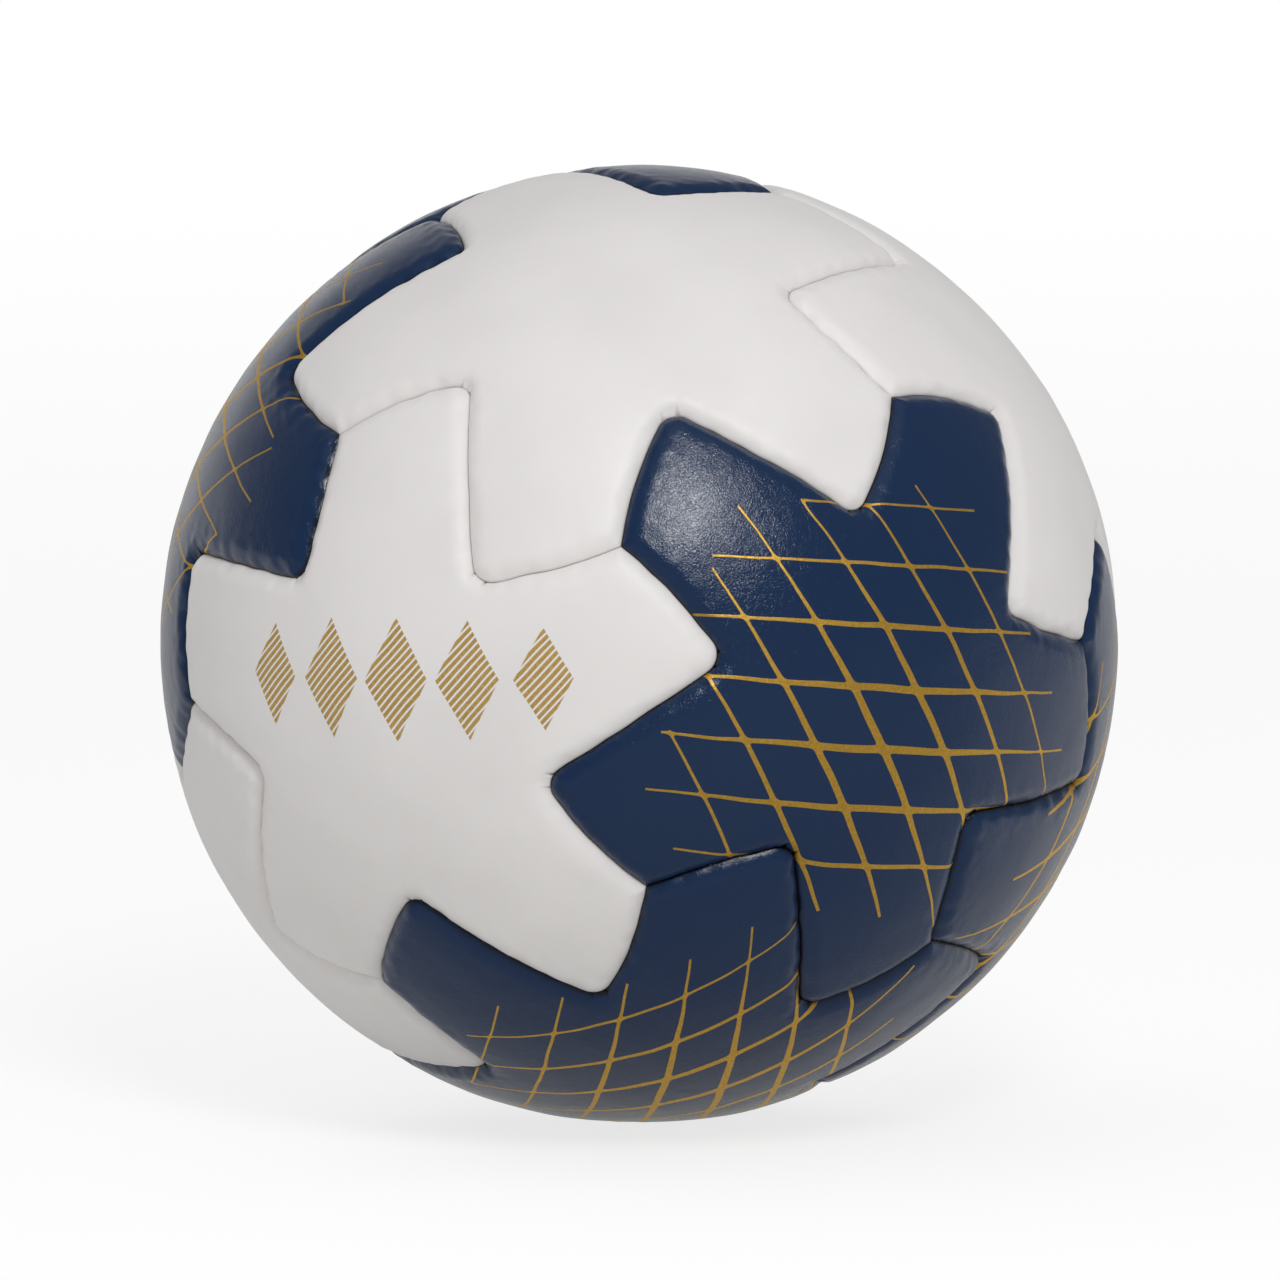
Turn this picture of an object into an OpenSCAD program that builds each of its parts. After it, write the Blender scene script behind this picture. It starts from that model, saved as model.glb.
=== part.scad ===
// Hand-sewn handball: twelve alike five-armed panels that interlock round an inflated bladder.
// The origin is the ball's centre. The valve looks along +Y and the ball rests on its lowest point.

/* [Ball] */
// Girth round the inflated ball
ball_girth = 590; // [540:5:620]
// Turn of the panels about the valve axis, in degrees
panel_roll = 40.9; // [0:0.1:72]

/* [Panel outline] */
// How far each arm corner slides along its seam, in degrees at the ball's centre
corner_slide = 6.5; // [5:0.25:8]
// How far each arm corner is thrown across its seam, in degrees at the ball's centre
corner_throw = 11.4; // [9:0.2:12.6]
// Bow of the arm's end, as a share of its length
end_bow_share = 0.035; // [0:0.005:0.05]
// Radius of the arm corners on the seam line
corner_r = 4; // [3:0.5:5]
// Open gap between two covers along a seam
seam_gap = 0.3; // [0.2:0.05:0.5]

/* [Cover] */
// Thickness of the coated skin
skin_t = 1.2; // [1:0.1:1.6]
// Width over which a cover rolls down into its seam
roll_w = 4.4; // [3.6:0.2:5.2]
// Depth of that rolled edge
roll_d = 2.4; // [1.8:0.2:3]

/* [Backing] */
// Thickness of the foam behind the skin
foam_t = 3.4; // [2.6:0.2:5]
// How far the foam stops short of the turned-in edge, to leave room for the thread
thread_room = 1.4; // [1.2:0.1:2]
// Thickness of the woven lining
lining_t = 1; // [0.6:0.1:1.6]
// Gap between two layers of a panel
layer_gap = 0.15; // [0.1:0.05:0.3]

/* [Stitching] */
// Thickness of the waxed thread
thread_d = 0.9; // [0.7:0.1:1]
// Clearance round the thread in its needle hole, on the radius
hole_clear = 0.1; // [0.05:0.05:0.2]
// Distance between two stitches
stitch_pitch = 5.6; // [5:0.2:8]
// Radius of the loop that holds each end of a stitch
loop_r = 0.8; // [0.7:0.1:1]

/* [Bladder] */
// Thickness of the rubber bladder
bladder_t = 1; // [0.8:0.1:1.6]
// Gap between the lining and the bladder
bladder_gap = 0.2; // [0.15:0.05:0.4]

/* [Valve] */
// Radius of the needle bore through the valve core
needle_r = 1.05; // [1:0.05:1.2]
// Radius of the soft valve core
core_r = 2; // [1.8:0.1:2.3]
// Radius of the core's inner head
core_head_r = 3.2; // [3:0.1:3.6]
// Thickness of the core's inner head
core_head_t = 1.4; // [1:0.2:2]
// Radius of the valve seat where it shows in the cover
seat_tip_r = 2.9; // [2.7:0.1:3.2]
// Radius of the valve seat's neck under the cover
neck_r = 4.2; // [3.9:0.1:5]
// Radius of the seat's flange inside the bladder
flange_r = 10; // [8:0.5:12]
// Thickness of the seat's flange
flange_t = 1.6; // [1.2:0.2:2.4]
// Radius of the seat's hub inside the bladder
hub_r = 5.5; // [5:0.25:6.5]
// Length of the hub inside the bladder
hub_l = 8; // [6:0.5:12]
// Depth of the seat below the cover's face
tip_sink = 0.4; // [0.2:0.1:0.8]
// Radius of the patch glued round the neck
patch_r = 12; // [10:0.5:14]
// Thickness of the patch
patch_t = 0.8; // [0.6:0.1:0.9]
// Clearance between fitted valve parts, on the radius
valve_clear = 0.05; // [0.03:0.01:0.1]

/* [Hidden] */
ball_r = ball_girth / (2 * PI);

// Layers from the outside in
foam_top_r = ball_r - skin_t - layer_gap;
foam_low_r = foam_top_r - foam_t;
lining_top_r = foam_low_r - layer_gap;
lining_low_r = lining_top_r - lining_t;
bladder_out_r = lining_low_r - bladder_gap;
bladder_in_r = bladder_out_r - bladder_t;

// A panel is one face of a dodecahedron blown up to the ball
arms = 5;
sector = 360 / arms;
face_step = acos(1 / sqrt(5));
edge_half = asin(1 / (sqrt(3) * (1 + sqrt(5)) / 2));
corner_step = acos(cos(face_step / 2) * cos(edge_half));

// Facets of an outline on an arm's end, on a corner and on an arm's side, and the round forms' fineness
cover_steps = [3, 3, 3];
backing_steps = [2, 2, 3];
ball_fn = 180;
round_fn = 48;
overrun = 0.6;
// A block's cap peaks at this share of its last ring, which keeps the cap clear of the ball
cap_share = 1.5;

// The rolled edge follows a quarter ellipse in three flats
roll_angles = [0, 26, 52];
roll_last = 78;
// The corner radius never shrinks below this share of itself where a ring is set in
least_corner_share = 0.12;
// A backing's shoulder drops by this share of the rolled edge's depth
shoulder_share = 0.9;
// The shoulder runs in by this share of the rolled edge's width
shoulder_run_share = 0.55;

white = "gainsboro";
navy = "midnightblue";

// Name, tilt from the front, turn about the valve axis, spin, colour, and the seams it is sewn by
PANELS = concat(
    [["front", 0, panel_roll + sector / 2, 0, navy, [0, 1, 2, 3, 4]]],
    [for (i = [0:arms - 1])
        [str("front_", i + 1), face_step, panel_roll + sector * i, 0, i < 3 ? white : navy, [0, 1, 4]]],
    [for (i = [0:arms - 1])
        [str("back_", i + 1), 180 - face_step, panel_roll + sector * (i + 0.5), sector / 2,
            i < 2 ? navy : white, [0, 4]]],
    [["valve", 180, panel_roll, sector / 2, navy, []]]
);
VALVE_PANEL = PANELS[len(PANELS) - 1];

function unit(v) = v / norm(v);
function mix(a, b, f) = a * (1 - f) + b * f;
function turned(v, a) = [v.x * cos(a) - v.y * sin(a), v.x * sin(a) + v.y * cos(a)];
function left(v) = [-v.y, v.x];

// Directions from the ball's centre: a seam corner, a seam's middle, and the way along the seam
function direction(tilt, turn) = [sin(tilt) * cos(turn), sin(tilt) * sin(turn), cos(tilt)];
function seam_corner(k) = direction(corner_step, sector * k);
function seam_middle(k) = direction(face_step / 2, sector * (k + 0.5));
function seam_along(k) = let (a = sector * (k + 0.5)) [-sin(a), cos(a), 0];
function seam_vector(k, p) = p.x * seam_along(k) + p.y * cross(seam_middle(k), seam_along(k));
function seam_point(k, p) = unit(seam_middle(k) + seam_vector(k, p));

// The flat plan of a seam about its middle: end, arm corner, the same corner turned half round, end
plan_end = [-tan(edge_half), 0];
plan_corner = [-tan(corner_slide), tan(corner_throw)];
bow_turn = atan(4 * end_bow_share);
end_way = unit(plan_corner - plan_end);
start_way = turned(end_way, bow_turn);
meet_way = turned(end_way, -bow_turn);
side_way = unit(-plan_corner);
corner_turn = acos(meet_way * side_way);
corner_miter = (left(meet_way) + left(side_way)) / (1 + left(meet_way) * left(side_way));

// Points of the rounded corner, set in by d: the first corner is hollow and the second is proud
function hollow_corner(d, f) =
    plan_corner - corner_miter * corner_r / ball_r
        + turned(left(meet_way), -corner_turn * f) * (corner_r + d) / ball_r;
function proud_corner(d, f) = let (r = max(corner_r - d, corner_r * least_corner_share))
    -plan_corner + corner_miter * (d + r) / ball_r
        - turned(left(side_way), corner_turn * f) * r / ball_r;

// A seam corner set in by d keeps that distance from both seams that meet there
function way_at(v, k) = let (w = seam_vector(k, start_way)) unit(w - (w * v) * v);
function corner_in(k, d) =
    let (v = seam_corner(k), a = cross(v, way_at(v, k - 1)), b = cross(v, way_at(v, k)))
        unit(v + (a + b) / (1 + a * b) * d / ball_r);
function bowed(a, b, f, side) =
    unit(mix(a, b, f) + 4 * f * (1 - f) * end_bow_share * side * cross(unit(a + b), b - a));

// One arm's stretch of the outline, set in by d
function stretch(k, d, steps) =
    let (
        ends = steps[0],
        bends = steps[1],
        sides = steps[2],
        start = corner_in(k, d),
        stop = corner_in(k + 1, d),
        hollow = [for (i = [0:bends]) seam_point(k, hollow_corner(d, i / bends))],
        proud = [for (i = [0:bends]) seam_point(k, proud_corner(d, i / bends))]
    )
    concat(
        [for (i = [0:ends - 1]) bowed(start, hollow[0], i / ends, 1)],
        hollow,
        [for (i = [1:sides - 1]) unit(mix(hollow[bends], proud[0], i / sides))],
        proud,
        [for (i = [1:ends - 1]) bowed(proud[bends], stop, i / ends, -1)]
    );
function outline(d, steps) = [for (k = [0:arms - 1]) each stretch(k, d, steps)];

// A solid from the ball's centre out through rings of [set-in, radius], closed by a cap of facets
module panel_block(levels, steps, foot) {
    rings = [for (l = levels) outline(l[0], steps) * l[1]];
    n = len(rings[0]);
    last = len(levels) - 1;
    top = n * len(levels) + 1;
    points = concat([[0, 0, foot]], [for (r = rings) each r], [[0, 0, levels[last][1] * cap_share]]);
    feet = [for (i = [0:n - 1]) [0, 1 + i, 1 + (i + 1) % n]];
    sides = [for (l = [0:1:last - 1], i = [0:n - 1])
        let (a = 1 + l * n + i, b = 1 + l * n + (i + 1) % n) each [[a, a + n, b + n], [a, b + n, b]]];
    caps = [for (i = [0:n - 1]) [top, 1 + last * n + (i + 1) % n, 1 + last * n + i]];
    polyhedron(points = points, faces = concat(feet, sides, caps));
}

// The ball's poles lie off to the panel's sides
module solid_ball(r) {
    rotate([90, 0, 0]) sphere(r = r, $fn = ball_fn);
}

function roll_level(a) = [seam_gap / 2 + roll_w * (1 - cos(a)), ball_r - roll_d * (1 - sin(a))];
function run_on(a, b, r) = [a[0] + (b[0] - a[0]) * (r - a[1]) / (b[1] - a[1]), r];
function roll_levels() =
    let (l = [for (a = roll_angles) roll_level(a)], end = l[len(l) - 1])
        concat(l, [run_on(end, roll_level(roll_last), ball_r + overrun)]);
function shoulder_levels(set_in, top_r) =
    let (
        low = [set_in, top_r - roll_d * shoulder_share],
        high = [set_in + roll_w * shoulder_run_share, top_r]
    )
    [low, run_on(low, high, top_r + overrun)];

module place(panel) {
    rotate([90, 0, 0]) rotate([0, 0, panel[2]]) rotate([0, panel[1], 0]) rotate([0, 0, panel[3]])
        children();
}

module valve_hole(r) {
    cylinder(h = ball_r + overrun, r = r, $fn = round_fn);
}

// Stitches of one seam as [direction, way along the seam], evenly set on its legs and one in each corner
end_arc = norm(seam_point(0, hollow_corner(0, 0)) - seam_corner(0)) * ball_r;
side_arc = norm(seam_point(0, proud_corner(0, 0)) - seam_point(0, hollow_corner(0, 1))) * ball_r;
function along(a, b, side, arc) =
    let (n = max(2, round(arc / stitch_pitch)))
        [for (i = [0:n - 1]) [bowed(a, b, (i + 0.5) / n, side), b - a]];
function stitch_places(k) = concat(
    along(corner_in(k, 0), seam_point(k, hollow_corner(0, 0)), 1, end_arc),
    [[seam_point(k, hollow_corner(0, 0.5)), seam_vector(k, meet_way + side_way)]],
    along(seam_point(k, hollow_corner(0, 1)), seam_point(k, proud_corner(0, 0)), 0, side_arc),
    [[seam_point(k, proud_corner(0, 0.5)), seam_vector(k, meet_way + side_way)]],
    along(seam_point(k, proud_corner(0, 1)), corner_in(k + 1, 0), -1, end_arc)
);

// The stitch line runs half way down the turned-in edge
stitch_r = (ball_r - roll_d + lining_low_r) / 2;
wall_run = seam_gap / 2 + skin_t;
// Slack between a loop and the turned-in edge's inner face
loop_slack = 0.15;
stitch_fn = 16;

// Lays its children across the seam, with Z running through both turned-in edges
module at_stitch(s) {
    out = unit(s[0]);
    across = unit(cross(out, s[1]));
    way = cross(across, out);
    multmatrix([
        [way.x, out.x, across.x, out.x * stitch_r],
        [way.y, out.y, across.y, out.y * stitch_r],
        [way.z, out.z, across.z, out.z * stitch_r],
        [0, 0, 0, 1]
    ]) children();
}

module needle_holes() {
    hole_l = 2 * (wall_run + overrun);
    for (k = [0:arms - 1], s = stitch_places(k))
        at_stitch(s) cylinder(h = hole_l, r = thread_d / 2 + hole_clear, center = true, $fn = stitch_fn);
}

module cover(panel) {
    color(panel[4]) place(panel) difference() {
        intersection() {
            panel_block(roll_levels(), cover_steps, 0);
            solid_ball(ball_r);
        }
        intersection() {
            panel_block(shoulder_levels(wall_run, ball_r - skin_t), cover_steps, wall_run);
            solid_ball(ball_r - skin_t);
        }
        solid_ball(lining_low_r);
        needle_holes();
        if (panel == VALVE_PANEL) valve_hole(seat_tip_r + valve_clear);
    }
}

module foam(panel) {
    color("khaki") place(panel) difference() {
        intersection() {
            panel_block(shoulder_levels(wall_run + thread_room, foam_top_r), backing_steps, wall_run);
            solid_ball(foam_top_r);
        }
        solid_ball(foam_low_r);
        if (panel == VALVE_PANEL) valve_hole(neck_r + layer_gap);
    }
}

module lining(panel) {
    color("linen") place(panel) difference() {
        intersection() {
            panel_block([[wall_run + thread_room, lining_top_r + overrun]], backing_steps, wall_run);
            solid_ball(lining_top_r);
        }
        solid_ball(lining_low_r);
        if (panel == VALVE_PANEL) valve_hole(patch_r + layer_gap);
    }
}

// One stitch: a thread through both edges with a loop drawn down on each inner face
module stitch() {
    half = wall_run + loop_slack + thread_d / 2;
    seat = wall_run + loop_slack;
    rotate_extrude($fn = stitch_fn) polygon([
        [0, -half], [loop_r, -half], [loop_r, -seat], [thread_d / 2, -seat],
        [thread_d / 2, seat], [loop_r, seat], [loop_r, half], [0, half]
    ]);
}

module stitching() {
    color("black")
        for (panel = PANELS) place(panel)
            for (k = panel[5], s = stitch_places(k)) at_stitch(s) stitch();
}

module bladder() {
    color("dimgray") place(VALVE_PANEL) difference() {
        solid_ball(bladder_out_r);
        solid_ball(bladder_in_r);
        valve_hole(neck_r + valve_clear);
    }
}

// The valve's pieces are drawn in the valve panel's own frame, with Z out through the cover
seat_top = ball_r - tip_sink;
neck_top = foam_top_r - layer_gap;
seat_foot = bladder_in_r - hub_l;
flange_top_r = bladder_in_r - layer_gap;
flange_foot = sqrt(flange_top_r ^ 2 - flange_r ^ 2) - flange_t;
patch_low_r = bladder_out_r + valve_clear;

module valve_patch() {
    color("gray") place(VALVE_PANEL) difference() {
        intersection() {
            valve_hole(patch_r);
            solid_ball(patch_low_r + patch_t);
        }
        solid_ball(patch_low_r);
        valve_hole(neck_r + valve_clear);
    }
}

module between(low, high, r) {
    translate([0, 0, low]) cylinder(h = high - low, r = r, $fn = round_fn);
}

module valve_seat() {
    color("dimgray") place(VALVE_PANEL) difference() {
        union() {
            between(seat_foot, flange_foot + flange_t / 2, hub_r);
            intersection() {
                between(flange_foot, ball_r, flange_r);
                solid_ball(flange_top_r);
            }
            between(flange_foot, neck_top, neck_r);
            between(flange_foot, seat_top, seat_tip_r);
        }
        between(seat_foot - overrun, ball_r, core_r + valve_clear);
        between(seat_foot - overrun, seat_foot + core_head_t + valve_clear, core_head_r + valve_clear);
    }
}

module valve_core() {
    color("black") place(VALVE_PANEL) difference() {
        union() {
            between(seat_foot, seat_foot + core_head_t, core_head_r);
            between(seat_foot, seat_top - tip_sink, core_r);
        }
        between(seat_foot - overrun, ball_r, needle_r);
    }
}

for (p = PANELS) cover(p);
for (p = PANELS) foam(p);
for (p = PANELS) lining(p);
stitching();
bladder();
valve_patch();
valve_seat();
valve_core();
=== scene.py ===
import math

import bmesh
import bpy
import numpy as np
from mathutils import Matrix, Vector


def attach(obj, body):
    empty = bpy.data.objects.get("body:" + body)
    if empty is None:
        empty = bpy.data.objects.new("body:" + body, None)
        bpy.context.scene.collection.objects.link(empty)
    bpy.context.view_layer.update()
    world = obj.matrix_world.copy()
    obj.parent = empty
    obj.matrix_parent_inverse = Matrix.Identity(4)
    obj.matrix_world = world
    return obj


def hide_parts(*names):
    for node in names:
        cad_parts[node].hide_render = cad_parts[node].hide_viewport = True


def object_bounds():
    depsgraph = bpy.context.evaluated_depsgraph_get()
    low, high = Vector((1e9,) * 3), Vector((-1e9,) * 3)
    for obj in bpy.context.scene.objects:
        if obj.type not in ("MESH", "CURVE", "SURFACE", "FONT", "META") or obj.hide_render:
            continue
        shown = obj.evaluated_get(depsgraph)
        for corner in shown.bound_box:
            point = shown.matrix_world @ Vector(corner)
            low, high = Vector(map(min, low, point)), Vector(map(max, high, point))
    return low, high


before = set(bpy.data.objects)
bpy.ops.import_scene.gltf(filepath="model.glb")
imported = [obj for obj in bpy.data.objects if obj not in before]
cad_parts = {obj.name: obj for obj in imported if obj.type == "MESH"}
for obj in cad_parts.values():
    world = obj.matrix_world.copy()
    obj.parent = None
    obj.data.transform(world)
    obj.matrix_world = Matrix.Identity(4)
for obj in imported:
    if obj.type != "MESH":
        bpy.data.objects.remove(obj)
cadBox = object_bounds()
scene = bpy.context.scene
scene.view_settings.view_transform = "Standard"
mm = 0.001
print("frame: loaded", len(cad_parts), "nodes")

# The ball and its sewing pattern, sized as the solids are (mm and degrees)
ball = {
    "girth": 590,
    "patternTurn": 40.9,
    "arms": 5,
    "cornerSlide": 6.5,
    "cornerThrow": 11.4,
    "bow": 0.035,
    "cornerRadius": 4,
    "skin": 1.2,
    "liningInside": 5.9,  # how far below the crown the turned-in edge ends
}
ballRadius = ball["girth"] / (2 * math.pi)
sector = 2 * math.pi / ball["arms"]
faceStep = math.acos(1 / math.sqrt(5))
edgeHalf = math.asin(1 / (math.sqrt(3) * (1 + math.sqrt(5)) / 2))
cornerStep = math.acos(math.cos(faceStep / 2) * math.cos(edgeHalf))

# The camera stands where the photograph's stood: far off, with a long lens
cameraSet = {
    "azimuth": -30.93,
    "elevation": 6.68,
    "distance": 32.45 * ballRadius * mm,
    "lens": 437.4,
    "clip": (0.1, 60),
    "aside": (0.00018, 0.00077),  # metres to the right and up, which centres the ball as in the photo
}


def awayFrom(azimuth, elevation):
    a, e = math.radians(azimuth), math.radians(elevation)
    return Vector((math.sin(a) * math.cos(e), -math.cos(a) * math.cos(e), math.sin(e)))


def addObject(name, data):
    made = bpy.data.objects.new(name, data)
    scene.collection.objects.link(made)
    return made


def makeCamera():
    data = bpy.data.cameras.new("camera")
    data.lens = cameraSet["lens"]
    data.clip_start, data.clip_end = cameraSet["clip"]
    camera = addObject("camera", data)
    back = awayFrom(cameraSet["azimuth"], cameraSet["elevation"])
    turn = back.to_track_quat("Z", "Y")
    camera.rotation_mode = "QUATERNION"
    camera.rotation_quaternion = turn
    aside = turn @ Vector((*cameraSet["aside"], 0))
    camera.location = back * cameraSet["distance"] + aside
    scene.camera = camera


makeCamera()
print("camera: ready")


# Materials, with every pattern sized in millimetres
def linear(code):
    parts = [int(code[i:i + 2], 16) / 255 for i in (0, 2, 4)]
    return (*[p / 12.92 if p <= 0.04045 else ((p + 0.055) / 1.055) ** 2.4 for p in parts], 1)


def shade(code, factor, lift=0):
    return (*[min(1, c * factor + lift) for c in linear(code)[:3]], 1)


def addNode(tree, kind, settings, sockets):
    node = tree.nodes.new(kind)
    for name, value in settings.items():
        setattr(node, name, value)
    for name, value in sockets.items():
        if isinstance(value, bpy.types.NodeSocket):
            tree.links.new(value, node.inputs[name])
        else:
            node.inputs[name].default_value = value
    return node.outputs


def newMaterial(name):
    material = bpy.data.materials.new(name)
    material.use_nodes = True
    tree = material.node_tree
    tree.nodes.clear()
    return material, tree, addNode(tree, "ShaderNodeTexCoord", {}, {})["Object"]


planSpan = 160  # mm of panel that the UV map's unit covers
printSet = {
    "stray": 0.9,           # mm that a print strays on the stretched skin, and over how far
    "strayRun": 14,
    "softEdge": 0.06,       # mm either side of an edge, as soft as a screen print's
    "stands": 0.35,         # how far the ink stands up, beside the grain
    "left": 0.85,           # share of the ink that is left in a pinhole
    "tones": (0.93, 1.14),  # its darkest and its lightest flakes
}
netPrint = {
    "spacing": 11.87,       # mm from line to line, in both families
    "families": [           # direction (degrees), where line 0 lies, first line, and both ends of each line
        (97, 0.9, -3, [(-35, 39), (-40, 47), (-52, 45.5), (-44.5, 42), (-36.5, 45), (-29.5, 38),
                       (-21.5, 18.5)]),
        (42, 5.3, -4, [(-14, 16.5), (-34, 30), (-43, 40), (-55, 47), (-45, 41), (-45, 40), (-46, 29.5)]),
    ],
    "thickest": (-10, -1),  # where the lines are thickest, and how they thin away from there
    "thick": 0.76,
    "thin": 0.2,
    "thinRun": 50,
    "web": 1.1,             # how far the ink webs where two lines cross
    "ink": "e2b44c",
    "metal": 0.85,          # share of the ink that is metal flake
    "rougher": 0.3,         # than the skin, because the flakes lie at all angles
}
lozengePrint = {
    "pitch": 15.2,
    "halfWidth": 6.9,
    "halfHeight": 12,
    "most": 2,
    "shrink": 0.04,
    "hatchPitch": 1.2,
    "hatchShare": 0.66,
    "ink": "b8954e",
    "metal": 0.2,
    "rougher": 0.05,
}


def planCoordinates(tree):
    # The panel's flat plan in mm, a little uneven, as a screen print on a stretched skin is
    uv = addNode(tree, "ShaderNodeUVMap", {"uv_map": "panelPlan"}, {})[0]
    plan = addNode(tree, "ShaderNodeMapping", {}, {
        "Vector": uv, "Location": (-planSpan / 2, -planSpan / 2, 0), "Scale": (planSpan, planSpan, 1)})[0]
    waver = addNode(tree, "ShaderNodeTexNoise", {}, {
        "Vector": plan, "Scale": 1 / printSet["strayRun"], "Detail": 1})["Color"]
    stray = printSet["stray"]
    centred = addNode(tree, "ShaderNodeVectorMath", {"operation": "MULTIPLY_ADD"},
                      {0: waver, 1: (stray, stray, 0), 2: (-stray / 2, -stray / 2, 0)})[0]
    return addNode(tree, "ShaderNodeVectorMath", {"operation": "ADD"}, {0: plan, 1: centred})[0]


def inkEdge(tree, distance):
    # Ink where the distance in mm is below 0
    soft = printSet["softEdge"]
    return addNode(tree, "ShaderNodeMapRange", {"interpolation_type": "SMOOTHSTEP"},
                   {"Value": distance, "From Min": -soft, "From Max": soft, "To Min": 1, "To Max": 0})[0]


def lineEnd(tree, share, ends):
    # Looks up where a line ends, from its number as a share of the way through its family
    curve = addNode(tree, "ShaderNodeFloatCurve", {}, {"Value": share})[0]
    points = curve.node.mapping.curves[0].points
    for number, end in enumerate(ends):
        place = (number / (len(ends) - 1), end / planSpan + 0.5)
        if number in (0, len(ends) - 1):
            points[0 if number == 0 else -1].location = place
        else:
            points.new(*place)
    for point in points:
        point.handle_type = "VECTOR"
    curve.node.mapping.update()
    return addNode(tree, "ShaderNodeMath", {"operation": "MULTIPLY_ADD"},
                   {0: curve, 1: planSpan, 2: -planSpan / 2})[0]


def netMask(tree):
    plan = planCoordinates(tree)
    spacing = netPrint["spacing"]
    off = addNode(tree, "ShaderNodeVectorMath", {"operation": "DISTANCE"},
                  {0: plan, 1: (*netPrint["thickest"], 0)})
    half = addNode(tree, "ShaderNodeMapRange", {"interpolation_type": "SMOOTHSTEP"}, {
        "Value": off["Value"], "From Min": 0, "From Max": netPrint["thinRun"],
        "To Min": netPrint["thick"], "To Max": netPrint["thin"]})[0]
    edges = []
    for direct, middle, first, ends in netPrint["families"]:
        upright = addNode(tree, "ShaderNodeMapping", {}, {
            "Vector": plan, "Rotation": (0, 0, math.radians(90 - direct))})[0]
        parts = addNode(tree, "ShaderNodeSeparateXYZ", {}, {"Vector": upright})
        # The line that is nearest, its number in the family and the distance to its side
        lines = len(ends)
        shifted = addNode(tree, "ShaderNodeMath", {"operation": "SUBTRACT"}, {0: parts["X"], 1: middle})[0]
        count = addNode(tree, "ShaderNodeMath", {"operation": "DIVIDE"}, {0: shifted, 1: spacing})[0]
        whole = addNode(tree, "ShaderNodeMath", {"operation": "ROUND"}, {0: count})[0]
        low = addNode(tree, "ShaderNodeMath", {"operation": "MAXIMUM"}, {0: whole, 1: first})[0]
        line = addNode(tree, "ShaderNodeMath", {"operation": "MINIMUM"}, {0: low, 1: first + lines - 1})[0]
        number = addNode(tree, "ShaderNodeMath", {"operation": "SUBTRACT"}, {0: line, 1: first})[0]
        share = addNode(tree, "ShaderNodeMath", {"operation": "DIVIDE"}, {0: number, 1: lines - 1})[0]
        apart = addNode(tree, "ShaderNodeMath", {"operation": "SUBTRACT"}, {0: count, 1: line})[0]
        apartMm = addNode(tree, "ShaderNodeMath", {"operation": "MULTIPLY"}, {0: apart, 1: spacing})[0]
        distance = addNode(tree, "ShaderNodeMath", {"operation": "ABSOLUTE"}, {0: apartMm})[0]
        side = addNode(tree, "ShaderNodeMath", {"operation": "SUBTRACT"}, {0: distance, 1: half})[0]
        # The distance past either of its ends
        start, stop = (lineEnd(tree, share, [e[i] for e in ends]) for i in (0, 1))
        before = addNode(tree, "ShaderNodeMath", {"operation": "SUBTRACT"}, {0: start, 1: parts["Y"]})[0]
        after = addNode(tree, "ShaderNodeMath", {"operation": "SUBTRACT"}, {0: parts["Y"], 1: stop})[0]
        past = addNode(tree, "ShaderNodeMath", {"operation": "MAXIMUM"}, {0: before, 1: after})[0]
        edges.append(addNode(tree, "ShaderNodeMath", {"operation": "MAXIMUM"}, {0: side, 1: past})[0])
    joined = addNode(tree, "ShaderNodeMath", {"operation": "SMOOTH_MIN"},
                     {0: edges[0], 1: edges[1], 2: netPrint["web"]})[0]
    return inkEdge(tree, joined)


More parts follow.
